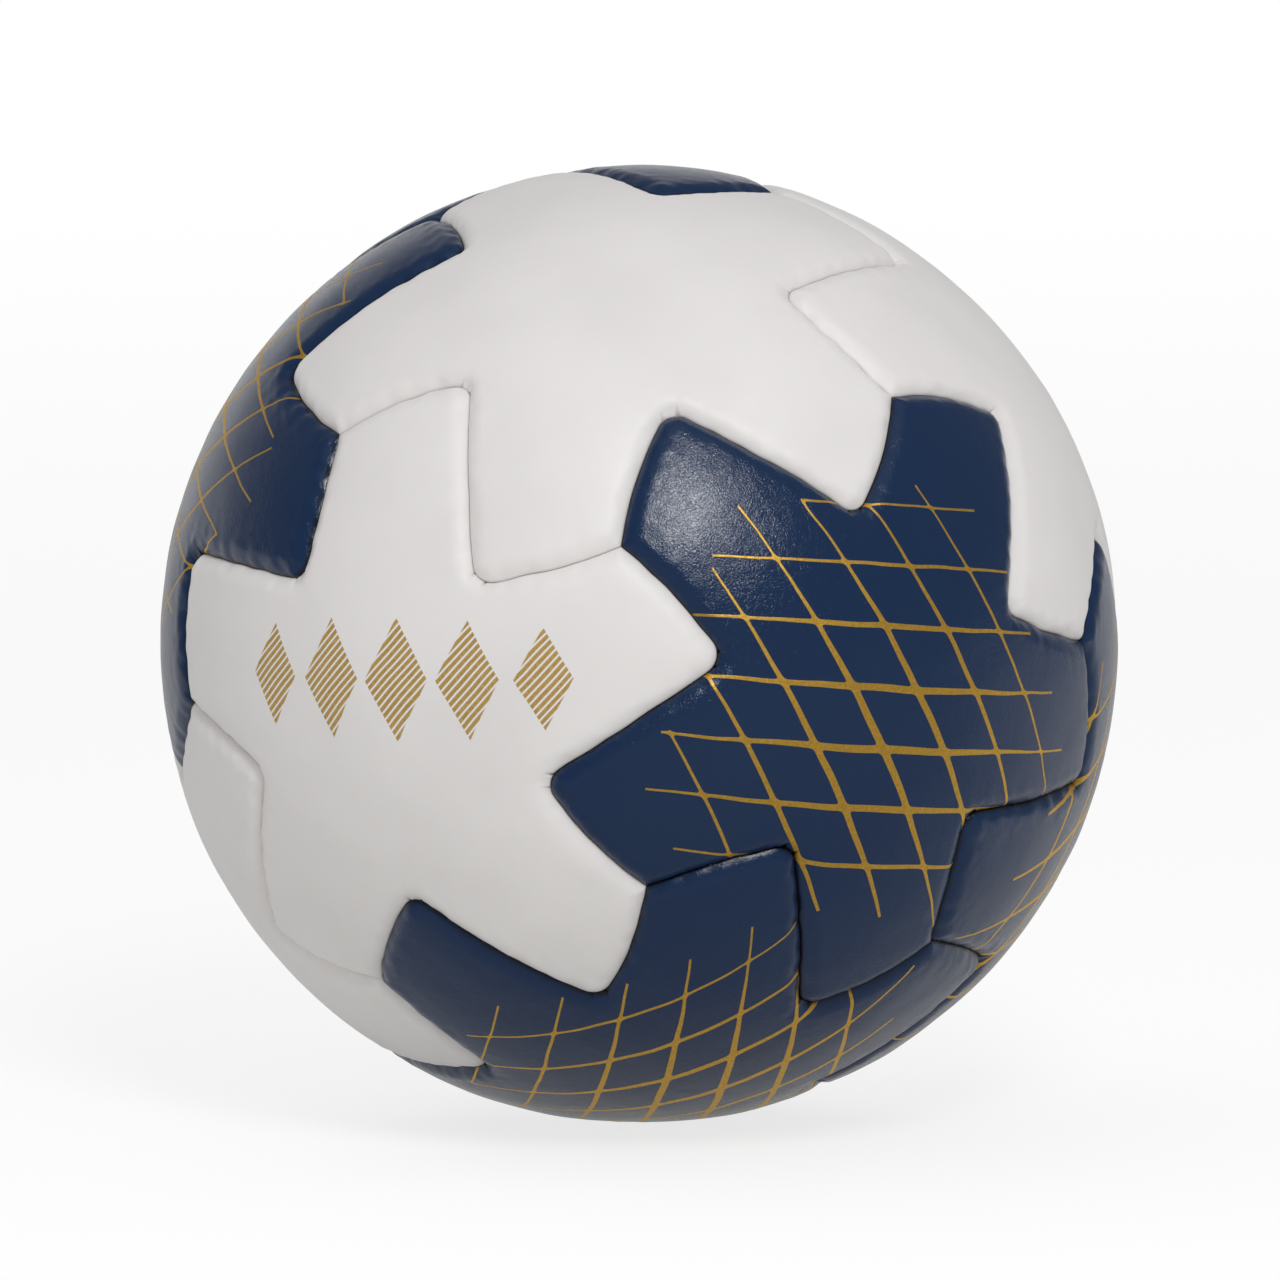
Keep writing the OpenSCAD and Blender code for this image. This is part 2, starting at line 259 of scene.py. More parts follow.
def lozengeMask(tree):
    plan = planCoordinates(tree)
    parts = addNode(tree, "ShaderNodeSeparateXYZ", {}, {"Vector": plan})
    width, height = lozengePrint["halfWidth"], lozengePrint["halfHeight"]
    slant = math.hypot(width, height)
    x, y = parts["X"], parts["Y"]
    pitch, most, hatchPitch = lozengePrint["pitch"], lozengePrint["most"], lozengePrint["hatchPitch"]
    # The lozenge that is nearest, and the place inside it
    count = addNode(tree, "ShaderNodeMath", {"operation": "DIVIDE"}, {0: x, 1: pitch})[0]
    nearest = addNode(tree, "ShaderNodeMath", {"operation": "ROUND"}, {0: count})[0]
    capped = addNode(tree, "ShaderNodeMath", {"operation": "MINIMUM"}, {0: nearest, 1: most})[0]
    number = addNode(tree, "ShaderNodeMath", {"operation": "MAXIMUM"}, {0: capped, 1: -most})[0]
    own = addNode(tree, "ShaderNodeMath", {"operation": "MULTIPLY"}, {0: number, 1: pitch})[0]
    inside = addNode(tree, "ShaderNodeMath", {"operation": "SUBTRACT"}, {0: x, 1: own})[0]
    sizeX = addNode(tree, "ShaderNodeMath", {"operation": "ABSOLUTE"}, {0: inside})[0]
    sizeY = addNode(tree, "ShaderNodeMath", {"operation": "ABSOLUTE"}, {0: y})[0]
    # Its slanted sides, closer in on the outer lozenges
    square = addNode(tree, "ShaderNodeMath", {"operation": "MULTIPLY"}, {0: number, 1: number})[0]
    reach = width * height / slant
    shrunk = addNode(tree, "ShaderNodeMath", {"operation": "MULTIPLY_ADD"},
                     {0: square, 1: -lozengePrint["shrink"] * reach, 2: reach})[0]
    partX = addNode(tree, "ShaderNodeMath", {"operation": "MULTIPLY"}, {0: sizeX, 1: height / slant})[0]
    both = addNode(tree, "ShaderNodeMath", {"operation": "MULTIPLY_ADD"},
                   {0: sizeY, 1: width / slant, 2: partX})[0]
    rim = addNode(tree, "ShaderNodeMath", {"operation": "SUBTRACT"}, {0: both, 1: shrunk})[0]
    # Its hatching at 45 degrees
    slide = addNode(tree, "ShaderNodeMath", {"operation": "SUBTRACT"}, {0: x, 1: y})[0]
    turns = addNode(tree, "ShaderNodeMath", {"operation": "DIVIDE"},
                    {0: slide, 1: hatchPitch * math.sqrt(2)})[0]
    part = addNode(tree, "ShaderNodeMath", {"operation": "FRACT"}, {0: turns})[0]
    centred = addNode(tree, "ShaderNodeMath", {"operation": "SUBTRACT"}, {0: part, 1: 0.5})[0]
    off = addNode(tree, "ShaderNodeMath", {"operation": "ABSOLUTE"}, {0: centred})[0]
    over = addNode(tree, "ShaderNodeMath", {"operation": "SUBTRACT"},
                   {0: off, 1: lozengePrint["hatchShare"] / 2})[0]
    stripe = addNode(tree, "ShaderNodeMath", {"operation": "MULTIPLY"}, {0: over, 1: hatchPitch})[0]
    edge = addNode(tree, "ShaderNodeMath", {"operation": "MAXIMUM"}, {0: rim, 1: stripe})[0]
    return inkEdge(tree, edge)


# Coated synthetic leather (PU on a textile backing): the coat is satin and rolled with a fine creased grain,
# which shows as soft mottling in the highlights
grainSet = {                     # sizes in mm
    "pullRun": 2.4,              # a coarser pull that bends the grain, and how far
    "pull": 1.2,
    "cellSize": 0.4,
    "cellShare": 0.35,           # depth of the cells and of the ripples beside the creases
    "creaseSize": 0.43,
    "rippleSize": 5,
    "rippleShare": 1.3,
    "depth": 0.065,
    "roughSpread": (-0.07, 0.09),
    "mottleSize": 26,
    "mottleShare": 0.6,
    "pinholeSize": 0.42,         # in the ink
    "flakeSize": 0.6,            # metal flakes in the ink, drawn coarse enough to show
    "noiseRange": (0.35, 0.7),   # what a noise's lows and highs read as
    "paintedShadeRun": 0.9,              # mm of depth over which the painted seam shade deepens
    "sheenRough": 0.35,
    "sheenTint": "d8cfd0",
}
# A skin's dark colour is painted shade, laid on where the skin sinks into a seam past the given depth in mm
skins = {
    "white": {"colour": "e4e1e0", "worn": "dbd8d7", "dark": "d0cbc8", "paintedShadeFrom": 1.5, "rough": 0.42,
              "grain": 0.35, "ior": 1.45, "sheen": 0.05},
    "navy": {"colour": "10294b", "worn": "142c4c", "dark": "04060a", "paintedShadeFrom": 1.2, "rough": 0.155,
             "grain": 0.9, "ior": 1.53, "sheen": 0.04},
}


def leatherMaterial(name, skin, mask=None, design=None):
    look = skins[skin]
    material, tree, place = newMaterial(name)
    sunk = addNode(tree, "ShaderNodeAttribute", {"attribute_name": "sunk"}, {})["Fac"]
    # Grain: short creases and cells, bent by a coarser pull, over ripples
    pull = addNode(tree, "ShaderNodeTexNoise", {}, {
        "Vector": place, "Scale": 1000 / grainSet["pullRun"], "Detail": 2})["Color"]
    pulled = addNode(tree, "ShaderNodeVectorMath", {"operation": "MULTIPLY_ADD"},
                     {0: pull, 1: (grainSet["pull"] * mm,) * 3, 2: place})[0]
    cells = addNode(tree, "ShaderNodeTexVoronoi", {"feature": "SMOOTH_F1"},
                    {"Vector": pulled, "Scale": 1000 / grainSet["cellSize"], "Smoothness": 0.4})["Distance"]
    creases = addNode(tree, "ShaderNodeTexNoise", {}, {
        "Vector": pulled, "Scale": 1000 / grainSet["creaseSize"], "Detail": 2, "Roughness": 0.6,
        "Distortion": 1})["Fac"]
    ripples = addNode(tree, "ShaderNodeTexNoise", {}, {
        "Vector": place, "Scale": 1000 / grainSet["rippleSize"], "Detail": 2})["Fac"]
    creased = addNode(tree, "ShaderNodeMath", {"operation": "MULTIPLY_ADD"},
                      {0: cells, 1: grainSet["cellShare"], 2: creases})[0]
    lift = addNode(tree, "ShaderNodeMath", {"operation": "MULTIPLY_ADD"},
                   {0: ripples, 1: grainSet["rippleShare"], 2: creased})[0]
    mottle = addNode(tree, "ShaderNodeTexNoise", {}, {
        "Vector": place, "Scale": 1000 / grainSet["mottleSize"], "Detail": 3})["Fac"]
    low, high = grainSet["noiseRange"]
    spread = addNode(tree, "ShaderNodeMapRange", {}, {
        "Value": mottle, "From Min": low, "From Max": high, "To Min": 0,
        "To Max": grainSet["mottleShare"]})[0]
    colour = addNode(tree, "ShaderNodeMix", {"data_type": "RGBA"}, {
        "Factor": spread, 6: linear(look["colour"]), 7: linear(look["worn"])})[2]
    smoothest, roughest = (look["rough"] + more for more in grainSet["roughSpread"])
    rough = addNode(tree, "ShaderNodeMapRange", {}, {
        "Value": creased, "From Min": 0.2, "From Max": 1, "To Min": smoothest, "To Max": roughest})[0]
    metal = 0
    if mask:
        printed = mask(tree)
        pinholes = addNode(tree, "ShaderNodeTexNoise", {}, {
            "Vector": place, "Scale": 1000 / grainSet["pinholeSize"], "Detail": 1})["Fac"]
        left = addNode(tree, "ShaderNodeMapRange", {}, {
            "Value": pinholes, "From Min": 0.3, "From Max": 0.42,
            "To Min": printSet["left"], "To Max": 1})[0]
        inked = addNode(tree, "ShaderNodeMath", {"operation": "MULTIPLY"}, {0: printed, 1: left})[0]
        metal = addNode(tree, "ShaderNodeMath", {"operation": "MULTIPLY"},
                        {0: inked, 1: design["metal"]})[0]
        rough = addNode(tree, "ShaderNodeMath", {"operation": "MULTIPLY_ADD"},
                        {0: inked, 1: design["rougher"], 2: rough})[0]
        lift = addNode(tree, "ShaderNodeMath", {"operation": "MULTIPLY_ADD"},
                       {0: printed, 1: printSet["stands"], 2: lift})[0]
        flakes = addNode(tree, "ShaderNodeTexNoise", {}, {
            "Vector": place, "Scale": 1000 / grainSet["flakeSize"], "Detail": 1})["Fac"]
        glint = addNode(tree, "ShaderNodeMapRange", {}, {
            "Value": flakes, "From Min": low, "From Max": high, "To Min": 0, "To Max": 1})[0]
        darkest, lightest = (shade(design["ink"], tone) for tone in printSet["tones"])
        ink = addNode(tree, "ShaderNodeMix", {"data_type": "RGBA"},
                      {"Factor": glint, 6: darkest, 7: lightest})[2]
        colour = addNode(tree, "ShaderNodeMix", {"data_type": "RGBA"},
                         {"Factor": inked, 6: colour, 7: ink})[2]
    # Painted shade: the colour darkens with depth into the seam, standing in for the shade in the crevice
    paintedSeamShade = addNode(tree, "ShaderNodeMapRange", {"interpolation_type": "SMOOTHSTEP"}, {
        "Value": sunk, "From Min": look["paintedShadeFrom"], "From Max": look["paintedShadeFrom"] + grainSet["paintedShadeRun"],
        "To Min": 0, "To Max": 1})[0]
    colour = addNode(tree, "ShaderNodeMix", {"data_type": "RGBA"}, {
        "Factor": paintedSeamShade, 6: colour, 7: linear(look["dark"])})[2]
    bump = addNode(tree, "ShaderNodeBump", {}, {
        "Height": lift, "Strength": look["grain"], "Distance": grainSet["depth"] * mm})[0]
    shader = addNode(tree, "ShaderNodeBsdfPrincipled", {}, {
        "Base Color": colour, "Metallic": metal, "Roughness": rough, "Normal": bump, "IOR": look["ior"],
        "Sheen Weight": look["sheen"], "Sheen Roughness": grainSet["sheenRough"],
        "Sheen Tint": linear(grainSet["sheenTint"])})[0]
    addNode(tree, "ShaderNodeOutputMaterial", {}, {"Surface": shader})
    return material


rubbers = {  # colour, roughness, size and depth of the pits (mm)
    "butyl rubber": ("17181a", 0.7, 0.9, 0.05),
    "moulded valve rubber": ("0f1012", 0.5, 0.35, 0.02),
}
rubberSet = {
    "bloomSize": 16,       # mm
    "bloom": (1.7, 0.01),  # how much lighter it is: times, and more
    "roughSpread": 0.08,   # either way
    "bump": 0.5,
    "ior": 1.52,
}


def rubberMaterial(name):
    # Moulded rubber: dark, satin or matt, with the fine pits that its mould leaves and a faint bloom
    code, rough, size, depth = rubbers[name]
    material, tree, place = newMaterial(name)
    pits = addNode(tree, "ShaderNodeTexNoise", {},
                   {"Vector": place, "Scale": 1000 / size, "Detail": 3})["Fac"]
    bloom = addNode(tree, "ShaderNodeTexNoise", {},
                    {"Vector": place, "Scale": 1000 / rubberSet["bloomSize"], "Detail": 2})["Fac"]
    colour = addNode(tree, "ShaderNodeMix", {"data_type": "RGBA"}, {
        "Factor": bloom, 6: linear(code), 7: shade(code, *rubberSet["bloom"])})[2]
    spread = rubberSet["roughSpread"]
    roughness = addNode(tree, "ShaderNodeMapRange", {}, {
        "Value": pits, "From Min": 0.3, "From Max": 0.7,
        "To Min": rough - spread, "To Max": rough + spread})[0]
    bump = addNode(tree, "ShaderNodeBump", {}, {
        "Height": pits, "Strength": rubberSet["bump"], "Distance": depth * mm})[0]
    shader = addNode(tree, "ShaderNodeBsdfPrincipled", {}, {
        "Base Color": colour, "Roughness": roughness, "Normal": bump, "IOR": rubberSet["ior"]})[0]
    addNode(tree, "ShaderNodeOutputMaterial", {}, {"Surface": shader})
    return material


foam = {"cell": 0.8, "depth": 0.2, "bump": 0.8, "colours": ("e6dab4", "c8b98c"), "rough": 0.9}
cloth = {"thread": 0.7, "depth": 0.2, "bump": 0.7, "colours": ("b9b3a4", "e3ddcd"), "rough": 0.85}
cord = {"ply": 0.45, "depth": 0.1, "bump": 0.6, "colours": ("08090b", "1b1c20"), "rough": 0.55}
waveTurns = 20 / (2 * math.pi)  # bands that a wave texture draws in one unit at a scale of 1


def finishTwoTone(tree, pattern, look):
    # A dull surface between two colours, which stands up where the pattern is high
    low, high = (linear(code) for code in look["colours"])
    colour = addNode(tree, "ShaderNodeMix", {"data_type": "RGBA"}, {"Factor": pattern, 6: low, 7: high})[2]
    bump = addNode(tree, "ShaderNodeBump", {}, {
        "Height": pattern, "Strength": look["bump"], "Distance": look["depth"] * mm})[0]
    shader = addNode(tree, "ShaderNodeBsdfPrincipled", {}, {
        "Base Color": colour, "Roughness": look["rough"], "Normal": bump})[0]
    addNode(tree, "ShaderNodeOutputMaterial", {}, {"Surface": shader})


def foamMaterial():
    # Closed-cell foam: its skin is cut through, so it shows cut cells and is matt
    material, tree, place = newMaterial("closed-cell foam")
    cells = addNode(tree, "ShaderNodeTexVoronoi", {},
                    {"Vector": place, "Scale": 1000 / foam["cell"]})["Distance"]
    finishTwoTone(tree, cells, foam)
    return material


def liningMaterial():
    # Plain woven cotton: threads that cross both ways, matt
    material, tree, place = newMaterial("woven cotton")
    scale = 1000 / cloth["thread"] / waveTurns
    waves = [addNode(tree, "ShaderNodeTexWave", {"bands_direction": way},
                     {"Vector": place, "Scale": scale, "Distortion": 0.4})["Fac"] for way in ("X", "Z")]
    weave = addNode(tree, "ShaderNodeMath", {"operation": "MULTIPLY"}, {0: waves[0], 1: waves[1]})[0]
    finishTwoTone(tree, weave, cloth)
    return material


def threadMaterial():
    # Waxed polyester thread: near black, with the twist of its plies and a dull shine from the wax
    material, tree, place = newMaterial("waxed thread")
    twist = addNode(tree, "ShaderNodeTexWave", {"bands_direction": "DIAGONAL"},
                    {"Vector": place, "Scale": 1000 / cord["ply"] / waveTurns, "Distortion": 1})["Fac"]
    finishTwoTone(tree, twist, cord)
    return material


finishes = {
    "navyNet": leatherMaterial("navy leather with gold net", "navy", netMask, netPrint),
    "white": leatherMaterial("white leather", "white"),
    "whiteLozenge": leatherMaterial("white leather with gold lozenges", "white", lozengeMask, lozengePrint),
    "foam": foamMaterial(),
    "lining": liningMaterial(),
    "thread": threadMaterial(),
    "bladder": rubberMaterial("butyl rubber"),
    "valve": rubberMaterial("moulded valve rubber"),
}
print("materials: ready")


# The outline of a panel: one arm's stretch of seam, turned round five times
def unit(v):
    return v / np.linalg.norm(v, axis=-1, keepdims=True)


def direction(tilt, turn):
    return np.array([math.sin(tilt) * math.cos(turn), math.sin(tilt) * math.sin(turn), math.cos(tilt)])


def turned(v, angle):
    c, s = np.cos(angle), np.sin(angle)
    return np.stack([v[..., 0] * c - v[..., 1] * s, v[..., 0] * s + v[..., 1] * c], -1)


def bowedLine(a, b, shares, side):
    f = shares[:, None]
    return unit(a * (1 - f) + b * f + 4 * f * (1 - f) * ball["bow"] * side * np.cross(unit(a + b), b - a))


outlineSet = {
    "perLeg": 60,         # points on each line and curve of an arm, as drawn
    "perArm": 150,        # points round one arm, as used
    "cornerCrowd": 5,     # how much closer they stand at a hollow corner
    "tipCrowd": 2.5,
    "crowdFade": 40,      # rounds that let the crowding fade along the seam
    "stitchPitch": 5.6,
}


def armStretch():
    # Runs from a seam corner round the hollow corner, along the arm's side and round its tip
    planEnd = np.array([-math.tan(edgeHalf), 0])
    slide, throw = (math.tan(math.radians(ball[name])) for name in ("cornerSlide", "cornerThrow"))
    planCorner = np.array([-slide, throw])
    r = ball["cornerRadius"] / ballRadius

    def left(v):
        return np.array([-v[1], v[0]])

    meetWay = turned(unit(planCorner - planEnd), -math.atan(4 * ball["bow"]))
    sideWay = unit(-planCorner)
    bend = math.acos(meetWay @ sideWay)
    miter = (left(meetWay) + left(sideWay)) / (1 + left(meetWay) @ left(sideWay))
    middle = direction(faceStep / 2, sector / 2)
    along = np.array([-math.sin(sector / 2), math.cos(sector / 2), 0])
    inward = np.cross(middle, along)

    def place(p):
        return unit(middle + p[:, :1] * along + p[:, 1:] * inward)

    f = np.linspace(0, 1, outlineSet["perLeg"])
    hollow = place(planCorner - miter * r + turned(left(meetWay)[None], -bend * f) * r)
    proud = place(-planCorner + miter * r - turned(left(sideWay)[None], bend * f) * r)
    start, stop = direction(cornerStep, 0), direction(cornerStep, sector)
    legs = [
        (bowedLine(start, hollow[0], f, 1), 1), (hollow, outlineSet["cornerCrowd"]),
        (unit(hollow[-1] * (1 - f[:, None]) + proud[0] * f[:, None]), 1), (proud, outlineSet["tipCrowd"]),
        (bowedLine(proud[-1], stop, f, -1), 1),
    ]
    points, crowd, phase, at = [], [], [], 0
    for leg, (line, near) in enumerate(legs):
        run = np.linalg.norm(np.diff(line, axis=0), axis=1).sum() * ballRadius
        stitches = 1 if leg in (1, 3) else max(2, round(run / outlineSet["stitchPitch"]))
        points.append(line[:-1])
        crowd.append(np.full(len(f) - 1, float(near)))
        phase.append(at + stitches * f[:-1])
        at += stitches
    return np.concatenate(points), np.concatenate(crowd), np.concatenate(phase), at


def panelOutline():
    points, crowd, phase, stitches = armStretch()
    closed = np.concatenate([points, turnAbout(points[:1], sector)])
    step = np.linalg.norm(np.diff(closed, axis=0), axis=1)
    soft = crowd.copy()
    for _ in range(outlineSet["crowdFade"]):
        soft = 0.25 * np.roll(soft, 1) + 0.5 * soft + 0.25 * np.roll(soft, -1)
    weight = np.concatenate([[0], np.cumsum(step * soft)])
    wanted = np.linspace(0, weight[-1], outlineSet["perArm"], endpoint=False)
    phases = np.append(phase, stitches)
    arm = unit(np.stack([np.interp(wanted, weight, closed[:, i]) for i in range(3)], -1))
    ticks = np.interp(wanted, weight, phases)
    arms = range(ball["arms"])
    return (np.concatenate([turnAbout(arm, sector * k) for k in arms]),
            np.concatenate([ticks + stitches * k for k in arms]), stitches)


def turnAbout(points, angle):
    c, s = math.cos(angle), math.sin(angle)
    return points @ np.array([[c, s, 0], [-s, c, 0], [0, 0, 1]])


def inwardWays(outline, spread):
    # The way into the panel at each outline point, evened out over a few mm so that rings never cross
    ahead, behind = np.roll(outline, -1, 0), np.roll(outline, 1, 0)
    ways = unit(np.cross(outline, ahead - behind))
    step = np.linalg.norm(ahead - behind, axis=1) / 2
    gap = np.linalg.norm(outline[:, None] - outline[None], axis=2) * ballRadius
    weight = np.exp(-(gap / spread) ** 2) * step[None]
    weight[gap > 4 * spread] = 0
    ways = unit(weight @ ways)
    return unit(ways - (ways * outline).sum(1, keepdims=True) * outline)


pointsAtOnce = 400  # keeps the tables of distances small


def seamDistance(points, outline):
    # Distance in mm from each point to the outline, where it is nearest, and a smooth mean that feels every
    # side and is the distance itself beside a straight seam
    a, b = outline, np.roll(outline, -1, 0)
    along = b - a
    lengths = np.linalg.norm(along, axis=1)
    nearest, where, felt = [], [], []
    for some in np.array_split(points, max(1, len(points) // pointsAtOnce)):
        off = some[:, None] - a[None]
        t = np.clip((off * along).sum(2) / lengths ** 2, 0, 1)
        d = np.linalg.norm(off - t[..., None] * along, axis=2)
        k = d.argmin(1)
        rows = np.arange(len(some))
        nearest.append(d[rows, k])
        where.append(k + t[rows, k])
        felt.append((math.pi / 2 / (lengths / np.maximum(d, 1e-5) ** 4).sum(1)) ** (1 / 3))
    return np.concatenate(nearest) * ballRadius, np.concatenate(where), np.concatenate(felt) * ballRadius


panelSet = {                  # sizes in mm
    "rollWidth": 4,           # over which the skin rolls down into the seam
    "rollDepth": 2.2,
    "rollRings": 15,
    "rollRun": 4.8,           # skin in the rings that keep to the outline
    "meet": 0.04,             # between the outline and the skin, which neighbours press nearly shut
    "wallRings": (0.7, 1.8),  # rings of the turned-in edge below the roll
    "insideRoll": (0.9, 0.55),  # depth and width of the roll on the inside, as shares of the outside's
    "insideShares": (0.35, 0.7, 1),  # rings of the inside, on the way to the middle
    "innerRings": 27,
    "innerGrowth": 1.09,
    "waysSpread": 2.4,
    "evening": 20,            # rounds that even a ring out for each mm that it goes in
    "eveningFrom": 0.3,
    "holeRadius": 2.95,       # the hole in the valve's panel
}


def insetRings(outline):
    # Rings that keep to the outline, each evened out so that none folds over
    turns = np.linspace(0, math.pi / 2, panelSet["rollRings"])
    insets = panelSet["meet"] + panelSet["rollRun"] * (1 - np.cos(turns))
    rings, ring, at = [], outline, 0
    for inset in insets:
        ring = unit(ring + inwardWays(ring, panelSet["waysSpread"]) * ((inset - at) / ballRadius))
        rounds = round(panelSet["evening"] * (inset - at)) if inset > panelSet["eveningFrom"] else 0
        for _ in range(rounds):
            ring = unit(0.5 * ring + 0.25 * (np.roll(ring, 1, 0) + np.roll(ring, -1, 0)))
        rings.append(ring)
        at = inset
    return insets, np.array(rings)


def panelRings(outline, hole):
    # Rings of unit vectors and their drop in mm, from the panel's middle over its crown, down the turned-in
    # edge and back along the inside; a drop of None is worked out from the distance to the seam
    insets, rolled = insetRings(outline)
    middle = direction(0, 0)[None] * np.ones((len(outline), 1))
    if hole:
        flat = unit(outline * np.array([1, 1, 0]))
        middle = unit(middle + flat * (panelSet["holeRadius"] / ballRadius))

    def at(inset):
        k = min(int(np.searchsorted(insets, inset, "right")), len(insets) - 1)
        share = (inset - insets[k - 1]) / (insets[k] - insets[k - 1])
        return unit(rolled[k - 1] * (1 - share) + rolled[k] * share)

    grown = np.cumsum(panelSet["innerGrowth"] ** np.arange(panelSet["innerRings"]))
    shares = grown / grown[-1]
    rings = [unit(rolled[-1] * (1 - share) + middle * share) for share in shares[::-1]] + list(rolled[::-1])
    drops = [None] * len(rings)
    wall, skin, foot = panelSet["meet"], ball["skin"], ball["liningInside"]
    depthShare, widthShare = panelSet["insideRoll"]
    outside = [(wall, panelSet["rollDepth"] + more) for more in panelSet["wallRings"]]
    inside = [(wall + skin, foot), (wall + skin, panelSet["rollDepth"] * depthShare + skin),
              (wall + skin + widthShare * panelSet["rollWidth"], skin)]
    for inset, drop in outside + [(wall, foot)] + inside:
        rings.append(at(inset))
        drops.append(drop)
    for share in panelSet["insideShares"]:
        rings.append(unit(rolled[-1] * (1 - share) + middle * share))
        drops.append(skin)
    return np.array(rings), drops


def spunSheet(stations, steps):
    # A straight row of vertices spun into a flat ring of quads; layers keep each vertex's station and step
    bm = bmesh.new()
    ends = [bm.verts.new((1, 0, 0)), bm.verts.new((stations, 0, 0))]
    row = bm.edges.new(ends)
    bmesh.ops.subdivide_edges(bm, edges=[row], cuts=stations - 2)
    bmesh.ops.spin(bm, geom=bm.verts[:] + bm.edges[:], cent=(0, 0, 0), axis=(0, 0, 1), angle=2 * math.pi,
                   steps=steps, use_merge=True)
    layers = [bm.verts.layers.int.new(name) for name in ("station", "step")]
    for v in bm.verts:
        v[layers[0]] = round(math.hypot(v.co.x, v.co.y)) - 1
        v[layers[1]] = round(math.atan2(v.co.y, v.co.x) / (2 * math.pi) * steps) % steps
    return bm, layers


def makePanelPattern(hole):
    # The panel without its own creases: closed mesh, unit vectors, drops and distances for each vertex
    outline, ticks, stitches = panelOutline()
    rings, drops = panelRings(outline, hole)
    bm, (stationLayer, stepLayer) = spunSheet(len(rings), len(outline))
    for v in bm.verts:
        v.co = rings[v[stationLayer], v[stepLayer]] * (ballRadius - (drops[v[stationLayer]] or 0))
    if hole:
        loops = [e for e in bm.edges if e.is_boundary]
        bmesh.ops.bridge_loops(bm, edges=loops)
        for edge in loops:
            edge.smooth = False  # the hole is cut, so its rims are crisp
    else:
        bmesh.ops.remove_doubles(bm, verts=bm.verts[:], dist=0.001)
    bmesh.ops.recalc_face_normals(bm, faces=bm.faces[:])
    bm.verts.index_update()
    count = len(bm.verts)

    def order(face):
        corners = [v.index for v in face.verts]
        first = corners.index(min(corners))
        return corners[first] * count + corners[first + 1 - len(corners)]

    bm.faces.sort(key=order)  # the same on every run
    mesh = bpy.data.meshes.new("panelPattern")
    bm.to_mesh(mesh)
    station = np.array([v[stationLayer] for v in bm.verts])
    step = np.array([v[stepLayer] for v in bm.verts])
    bm.free()
    crown = np.array([d is None for d in drops])[station]
    flat = np.array([0.0 if d is None else d for d in drops])[station]
    places = rings[station, step]
    # One arm is measured, and the others have the same distances
    perArm = outlineSet["perArm"]
    oneArm = rings[:, :perArm].reshape(-1, 3)
    nearest, place, mean = (m.reshape(len(rings), perArm) for m in seamDistance(oneArm, outline))
    distance, felt = (np.tile(m, (1, ball["arms"]))[station, step] for m in (nearest, mean))
    where = (place[station, step % perArm] + step // perArm * perArm) % len(outline)
    phase = np.interp(where, np.arange(len(ticks) + 1), np.append(ticks, stitches * ball["arms"]))
    return {"mesh": mesh, "places": places, "crown": crown, "flat": flat, "distance": distance, "felt": felt,
            "phase": phase, "stitches": stitches * ball["arms"], "hollows": hollowCorners(outline)}


creaseSet = {
    "perCorner": 5,
    "spread": 60,         # degrees either side of the way into the panel
    "stray": 8,           # degrees that one strays from its even share
    "length": (3.5, 8),
    "width": (0.5, 0.9),
    "depth": (0.06, 0.16),
    "bend": 0.03,
    "notchApart": 2.9,    # two notches in the turned-in edge, which gape a little
    "notchLength": 1.4,
    "notchWidth": 0.26,
    "notchDepth": (0.55, 1.1),
    "reach": 12,          # mm round the corner that this fills
    "waysSpread": 1.5,
}


def hollowCorners(outline):
    # The middles of the hollow corners, each with the way into the panel
    ways = inwardWays(outline, creaseSet["waysSpread"])
    perArm = outlineSet["perArm"]
    lowest = int(outline[:perArm, 2].argmax())
    return [(outline[k], ways[k]) for k in range(lowest, len(outline), perArm)]


def creasesOf(places, hollows, slack, random):
    # At each hollow corner the skin is notched, so that it can turn, and crumples in creases that fan out
    drop = np.zeros(len(places))
    for corner, way in hollows:
        side = np.cross(corner, way)
        off = (places - corner) * ballRadius
        near = np.linalg.norm(off, axis=1) < creaseSet["reach"]
        x, y = off[near] @ way, off[near] @ side
        for k in range(creaseSet["perCorner"]):
            bearing = creaseSet["spread"] * ((k + 0.5) / creaseSet["perCorner"] * 2 - 1)
            angle = math.radians(bearing + random.uniform(-creaseSet["stray"], creaseSet["stray"]))
            length = random.uniform(*creaseSet["length"])
            depth = random.uniform(*creaseSet["depth"]) * slack ** 2
            along = x * math.cos(angle) + y * math.sin(angle)
            bend = random.uniform(-creaseSet["bend"], creaseSet["bend"])
            across = -x * math.sin(angle) + y * math.cos(angle) + bend * along ** 2
            share = np.clip(along / length, 0, 1)
            width = np.interp(share, (0, 1), creaseSet["width"])
            drop[near] += depth * np.exp(-(across / width) ** 2) * (1 - share) ** 1.5 * np.clip(along, 0, 1)
        for middle in (-creaseSet["notchApart"] / 2, creaseSet["notchApart"] / 2):
            across = (y - middle) / creaseSet["notchWidth"]
            share = np.clip(1 - x / creaseSet["notchLength"], 0, 1)
            drop[near] += random.uniform(*creaseSet["notchDepth"]) * np.exp(-across ** 2) * share
    return drop


